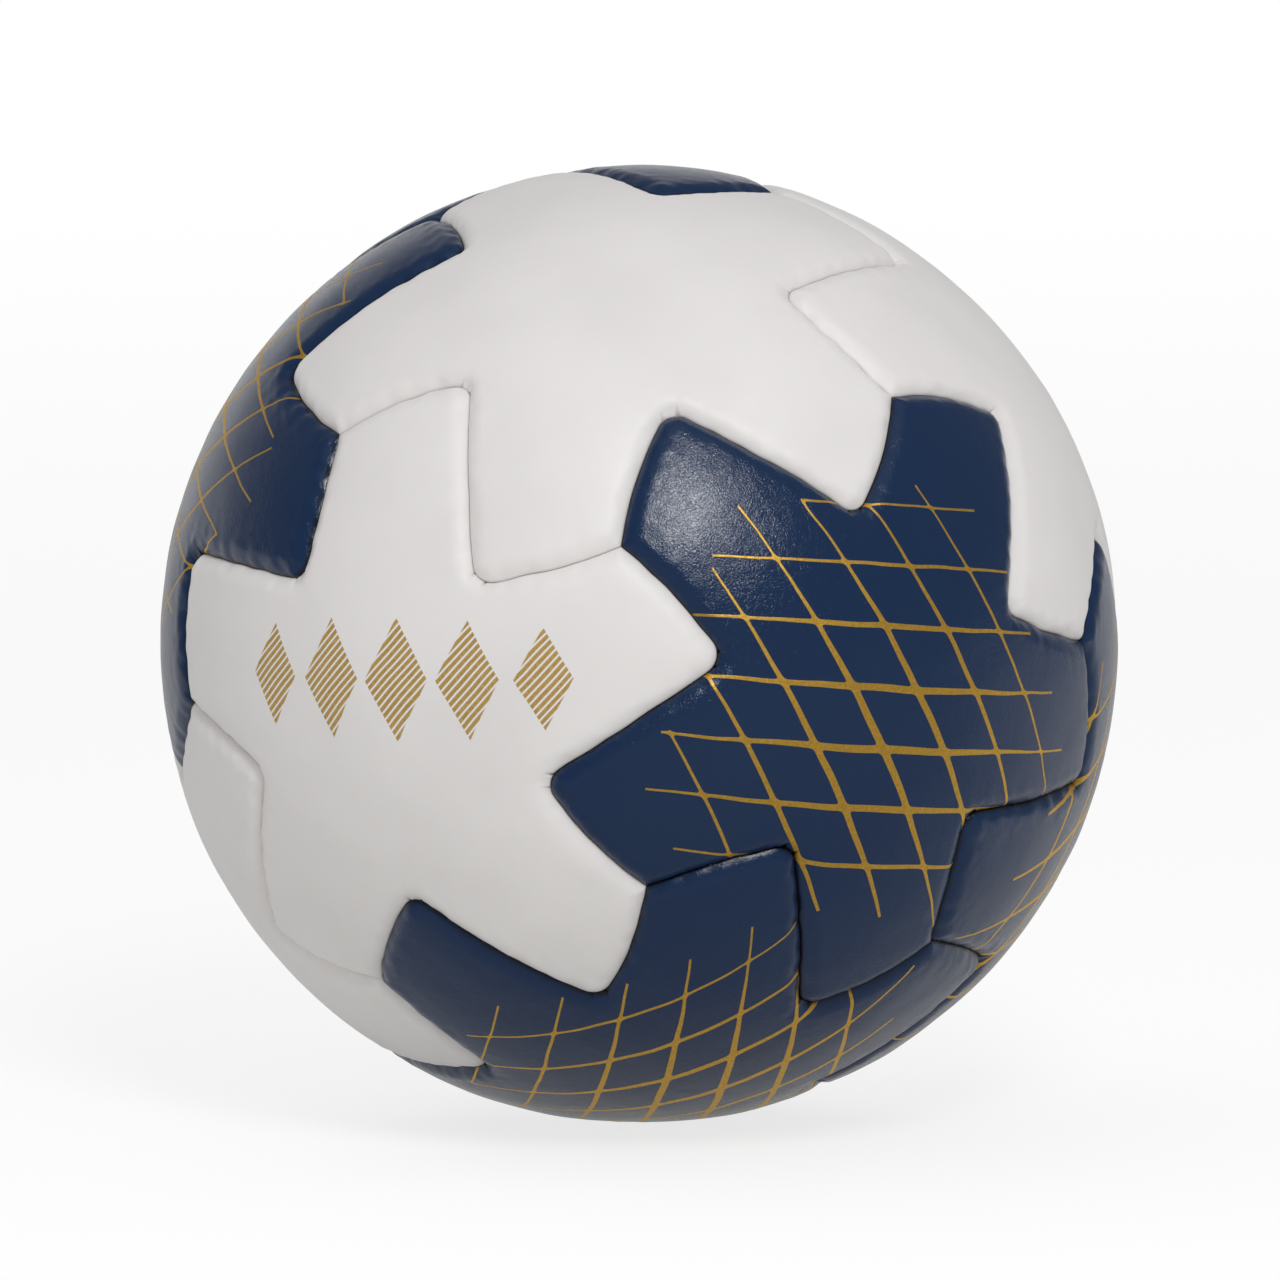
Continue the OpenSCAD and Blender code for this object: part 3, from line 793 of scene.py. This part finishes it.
puffSet = {                     # sizes in mm
    "stitchForce": (0.5, 1.4),  # how hard the loosest and the tightest stitch pull
    "pucker": 0.18,             # how far each draws the outline in
    "puckerRun": 3,
    "pull": 0.15,               # how far each draws the edge down
    "pullRun": (0.8, 2.6),      # over which a form starts beside the seam, and over which it fades
    "settle": 0.4,              # how low the skin still lies just past the roll
    "settleRun": (1.5, 6),
    "lump": 0.035,              # how far the padded edge rises and falls between stitches
    "lumpLengths": (2.7, 3.6, 5.1),
    "lumpWays": 4,
    "lumpRun": (0.6, 3),
    "swellLengths": (34, 26, 19, 13, 9),  # long swells of skin over foam
    "swell": 0.0045,            # their height as a share of their length, and of that for the shortest
    "swellStretch": 1.6,
    "shortSwell": (12, 0.6),
    "swellRun": 5,
    "stray": 0.08,              # how far the seams stray to either side
    "strayLengths": (6.1, 7.7, 10.3),
    "strayWays": 2,
    "strayRun": 5,
    "straySeed": 7,
}
fullTurn = 6.28  # radians, within which a wave starts


def fading(distance, run):
    return np.exp(-distance / run)


def beside(distance, runs):
    # Starts from nothing at the seam and fades out into the panel
    return fading(distance, runs[1]) * (1 - fading(distance, runs[0]))


def heightOf(pattern, slack, seed):
    # Height of each vertex over the ball's radius, in mm
    random = np.random.default_rng(seed)
    d, felt, phase, places = (pattern[name] for name in ("distance", "felt", "phase", "places"))
    stitch = random.uniform(*puffSet["stitchForce"], pattern["stitches"] + 1) * slack
    drawn = (0.5 - 0.5 * np.cos(2 * math.pi * phase)) ** 1.5 * stitch[np.floor(phase).astype(int)]
    pucker = puffSet["pucker"] * drawn * fading(d, puffSet["puckerRun"]) * np.clip(d, 0, 1)
    x = 1 - np.clip(np.clip(d - pucker, 0, None) / panelSet["rollWidth"], 0, 1)
    roll = panelSet["rollDepth"] * (0.5 * x ** 2.5 + 0.5 * (1 - np.sqrt(1 - x ** 2)))
    start, run = puffSet["settleRun"]
    settle = puffSet["settle"] * fading(felt, run) * (1 - fading(d, start))
    pull = puffSet["pull"] * drawn * beside(d, puffSet["pullRun"])
    waves = np.zeros(len(places))
    short, less = puffSet["shortSwell"]
    for size in puffSet["swellLengths"]:
        way = unit(random.normal(size=(3, 3)))
        lift = puffSet["swell"] * size * (1 if size > short else less)
        turns = places @ way.T * ballRadius * 2 * math.pi / size / puffSet["swellStretch"]
        waves += lift * np.prod(np.sin(turns + random.uniform(0, fullTurn, 3)), axis=1)
    lumps = np.zeros(len(places))
    for size in puffSet["lumpLengths"]:
        for way in unit(random.normal(size=(puffSet["lumpWays"], 3))):
            lumps += np.sin(places @ way * ballRadius * 2 * math.pi / size + random.uniform(0, fullTurn))
    lumps *= puffSet["lump"] * slack * beside(d, puffSet["lumpRun"])
    creases = creasesOf(places, pattern["hollows"], slack, random)
    crown = -roll - settle - pull - creases + lumps + waves * (1 - fading(d, puffSet["swellRun"]))
    return np.where(pattern["crown"], crown, -pattern["flat"])


def strayOf(points, distance):
    # The stray depends on the place on the ball alone, so neighbours stay together
    random = np.random.default_rng(puffSet["straySeed"])
    stray = np.zeros(points.shape)
    for length in puffSet["strayLengths"]:
        for _ in range(puffSet["strayWays"]):
            way, push = unit(random.normal(size=(2, 3)))
            wave = np.sin(points @ way * 2 * math.pi / length + random.uniform(0, fullTurn))
            stray += puffSet["stray"] * wave[:, None] * push
    radial = unit(points)
    stray -= (stray * radial).sum(1, keepdims=True) * radial
    return stray * fading(distance, puffSet["strayRun"])[:, None]


patterns = {hole: makePanelPattern(hole) for hole in (False, True)}
print("panel pattern:", len(patterns[False]["places"]), "vertices")

# Name, tilt from the front, turn and spin (degrees), finish, turn and centre (mm) of its print, and how slack
# its skin is
faceDegrees = math.degrees(faceStep)
patternTurn = ball["patternTurn"]
panels = [
    ("front", 0, patternTurn + 36, 0, "navyNet", 0, (0, 0), 0.8),
    ("front_1", faceDegrees, patternTurn, 0, "white", 0, (0, 0), 1.15),
    ("front_2", faceDegrees, patternTurn + 72, 0, "white", 0, (0, 0), 1.15),
    ("front_3", faceDegrees, patternTurn + 144, 0, "whiteLozenge", 0, (-4.8, -9.6), 0.95),
    ("front_4", faceDegrees, patternTurn + 216, 0, "navyNet", -72, (0, 0), 1.2),
    ("front_5", faceDegrees, patternTurn + 288, 0, "navyNet", 0, (0, 0), 1.2),
    ("back_1", 180 - faceDegrees, patternTurn + 36, 36, "navyNet", 144, (0, 0), 1.2),
    ("back_2", 180 - faceDegrees, patternTurn + 108, 36, "navyNet", 72, (0, 0), 1.3),
    ("back_3", 180 - faceDegrees, patternTurn + 180, 36, "white", 0, (0, 0), 1.15),
    ("back_4", 180 - faceDegrees, patternTurn + 252, 36, "white", 0, (0, 0), 1.15),
    ("back_5", 180 - faceDegrees, patternTurn + 324, 36, "white", 0, (0, 0), 1.15),
    ("valve", 180, patternTurn, 36, "navyNet", -144, (0, 0), 1),
]


def placing(tilt, turn, spin):
    return (Matrix.Rotation(math.pi / 2, 3, "X") @ Matrix.Rotation(math.radians(turn), 3, "Z")
            @ Matrix.Rotation(math.radians(tilt), 3, "Y") @ Matrix.Rotation(math.radians(spin), 3, "Z"))


def makePanel(row, seed):
    name, tilt, turn, spin, finish, printTurn, printAt, slack = row
    pattern = patterns[name == "valve"]
    height = heightOf(pattern, slack, seed)
    mesh = pattern["mesh"].copy()
    mesh.name = "panel_" + name
    turning = np.array(placing(tilt, turn, spin))
    points = pattern["places"] * (ballRadius + height)[:, None] @ turning.T
    points += strayOf(points, pattern["distance"])
    mesh.vertices.foreach_set("co", (points * mm).astype(np.float32).ravel())
    sunk = mesh.attributes.new("sunk", "FLOAT", "POINT")
    sunk.data.foreach_set("value", (-height).astype(np.float32))
    # The flat plan: distance from the panel's middle over the ball, and bearing
    places = pattern["places"]
    reach = np.arccos(np.clip(places[:, 2], -1, 1)) * ballRadius
    plan = unit(places[:, :2] + 1e-9) * reach[:, None] - np.array(printAt)
    plan = turned(plan, math.radians(-printTurn)) / planSpan + 0.5
    corners = np.empty(len(mesh.loops), np.int32)
    mesh.loops.foreach_get("vertex_index", corners)
    layer = mesh.uv_layers.new(name="panelPlan")
    layer.uv.foreach_set("vector", plan[corners].astype(np.float32).ravel())
    mesh.polygons.foreach_set("use_smooth", np.ones(len(mesh.polygons), bool))
    mesh.materials.append(finishes[finish])
    mesh.update()
    panel = addObject("panel_" + name, mesh)
    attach(panel, "root")
    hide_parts("cover_" + name)


firstSeed = 40
for number, row in enumerate(panels):
    makePanel(row, firstSeed + number)
print("panels: made", len(panels))

# The nodes that keep their CAD shape get their own finish
nodeFinishes = {"foam": "foam", "lining": "lining", "stitching": "thread", "bladder": "bladder",
                "valve_patch": "bladder", "valve_seat": "valve", "valve_core": "valve"}
for name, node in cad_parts.items():
    for start, finish in nodeFinishes.items():
        if name.startswith(start):
            node.data.materials.clear()
            node.data.materials.append(finishes[finish])
print("inner pieces: finished")


# The studio: a pale floor, a white surround that is dim behind the camera, and soft lamps
studio = {
    "floorPaint": "efefed",
    "floorSize": 14,         # metres
    "floorSides": 96,
    "floorSeen": 0.25,       # share of light and shade that the camera sees on the floor
    "floorLift": 0.77,       # and what it sees under them
    "floorFade": (0.5, 2.2),  # metres over which the floor runs out into the white
    "around": (0.47, 0.72),  # the surround's light on the object, from the camera's side and the far one
    "roomSeen": (0.14, 0.85),  # how bright gloss shows the room behind the camera, and the backdrop
    "roomWay": (-173, -35),  # where the backdrop is brightest, from the camera
    "roomRun": (0.25, 0.95),  # cosines from there over which it fades
    "floorShine": (0.25, 0.6),  # how bright gloss shows the floor in front of the object, and behind it
    "floorShineRun": (-0.02, 0.12),  # metres in front of the ball's middle over which that changes
    "lamps": [               # name, azimuth from the camera, elevation, distance, width, height (m), watts
        ("topLamp", 0, 72, 1.6, 1.6, 1.2, 1.2),
        ("keyLamp", 12, 38, 1.7, 0.42, 0.56, 11.4),
    ],
}


def seenRays(tree):
    # One where the camera, a mirror-like surface or a clear one looks
    rays = addNode(tree, "ShaderNodeLightPath", {}, {})
    gloss = addNode(tree, "ShaderNodeMath", {"operation": "ADD", "use_clamp": True},
                    {0: rays["Is Glossy Ray"], 1: rays["Is Transmission Ray"]})[0]
    seen = addNode(tree, "ShaderNodeMath", {"operation": "ADD", "use_clamp": True},
                   {0: gloss, 1: rays["Is Camera Ray"]})[0]
    return {"camera": rays["Is Camera Ray"], "gloss": gloss, "seen": seen}


def makeFloor():
    # White paint, lit where light falls on the object and shown as a white that keeps the shadow
    material, tree, place = newMaterial("matt white floor paint")
    rays = seenRays(tree)
    away = addNode(tree, "ShaderNodeVectorMath", {"operation": "LENGTH"}, {0: place})["Value"]
    toFront = addNode(tree, "ShaderNodeVectorMath", {"operation": "DOT_PRODUCT"}, {
        0: place, 1: awayFrom(cameraSet["azimuth"], 0)})["Value"]
    near, far = studio["floorFade"]
    fade = addNode(tree, "ShaderNodeMapRange", {"interpolation_type": "SMOOTHSTEP"}, {
        "Value": away, "From Min": near, "From Max": far})[0]
    shine = addNode(tree, "ShaderNodeMapRange", {"interpolation_type": "SMOOTHSTEP"}, {
        "Value": toFront, "From Min": studio["floorShineRun"][0], "From Max": studio["floorShineRun"][1],
        "To Min": 1 - studio["floorShine"][1], "To Max": 1 - studio["floorShine"][0]})[0]
    dim = addNode(tree, "ShaderNodeMath", {"operation": "MULTIPLY"}, {0: shine, 1: rays["gloss"]})[0]
    paint = addNode(tree, "ShaderNodeBsdfDiffuse", {}, {"Color": linear(studio["floorPaint"])})[0]
    shaded = addNode(tree, "ShaderNodeBsdfDiffuse", {}, {"Color": (*[studio["floorSeen"]] * 3, 1)})[0]
    lift = addNode(tree, "ShaderNodeEmission", {}, {"Strength": studio["floorLift"]})[0]
    lifted = addNode(tree, "ShaderNodeAddShader", {}, {0: shaded, 1: lift})[0]
    white = addNode(tree, "ShaderNodeEmission", {}, {"Strength": 1})[0]
    shown = addNode(tree, "ShaderNodeMixShader", {}, {0: fade, 1: lifted, 2: white})[0]
    dark = addNode(tree, "ShaderNodeEmission", {}, {"Strength": 0})[0]
    dimmed = addNode(tree, "ShaderNodeMixShader", {}, {0: dim, 1: shown, 2: dark})[0]
    both = addNode(tree, "ShaderNodeMixShader", {}, {0: rays["seen"], 1: paint, 2: dimmed})[0]
    addNode(tree, "ShaderNodeOutputMaterial", {}, {"Surface": both})
    bm = bmesh.new()
    bmesh.ops.create_circle(bm, cap_ends=True, segments=studio["floorSides"],
                            radius=studio["floorSize"])
    bmesh.ops.translate(bm, verts=bm.verts[:], vec=(0, 0, cadBox[0][2]))
    mesh = bpy.data.meshes.new("floor")
    bm.to_mesh(mesh)
    bm.free()
    mesh.materials.append(material)
    floor = addObject("floor", mesh)


def makeSurround():
    world = bpy.data.worlds.new("surround")
    world.use_nodes = True
    tree = world.node_tree
    tree.nodes.clear()
    rays = seenRays(tree)
    way = addNode(tree, "ShaderNodeTexCoord", {}, {})["Generated"]
    behind = addNode(tree, "ShaderNodeVectorMath", {"operation": "DOT_PRODUCT"}, {
        0: way, 1: awayFrom(cameraSet["azimuth"] + studio["roomWay"][0], studio["roomWay"][1])})["Value"]
    room = addNode(tree, "ShaderNodeMapRange", {"interpolation_type": "SMOOTHSTEP"}, {
        "Value": behind, "From Min": studio["roomRun"][0], "From Max": studio["roomRun"][1],
        "To Min": studio["roomSeen"][0], "To Max": studio["roomSeen"][1]})[0]
    shown = addNode(tree, "ShaderNodeMath", {"operation": "MAXIMUM"}, {0: room, 1: rays["camera"]})[0]
    toCamera = addNode(tree, "ShaderNodeVectorMath", {"operation": "DOT_PRODUCT"}, {
        0: way, 1: awayFrom(cameraSet["azimuth"], cameraSet["elevation"])})["Value"]
    around = addNode(tree, "ShaderNodeMapRange", {}, {
        "Value": toCamera, "From Min": 1, "From Max": -1, "To Min": studio["around"][0],
        "To Max": studio["around"][1]})[0]
    light = addNode(tree, "ShaderNodeBackground", {}, {"Color": (1, 1, 1, 1), "Strength": around})[0]
    white = addNode(tree, "ShaderNodeBackground", {}, {"Color": (1, 1, 1, 1), "Strength": shown})[0]
    mixed = addNode(tree, "ShaderNodeMixShader", {}, {0: rays["seen"], 1: light, 2: white})[0]
    addNode(tree, "ShaderNodeOutputWorld", {}, {"Surface": mixed})
    scene.world = world


def makeLamps():
    for name, azimuth, elevation, distance, width, height, watts in studio["lamps"]:
        data = bpy.data.lights.new(name, "AREA")
        data.shape = "RECTANGLE"
        data.size, data.size_y, data.energy = width, height, watts
        lamp = addObject(name, data)
        way = awayFrom(cameraSet["azimuth"] + azimuth, elevation)
        lamp.location = way * distance
        lamp.rotation_mode = "QUATERNION"
        lamp.rotation_quaternion = way.to_track_quat("Z", "Y")


makeFloor()
makeSurround()
makeLamps()
print("studio: lit")
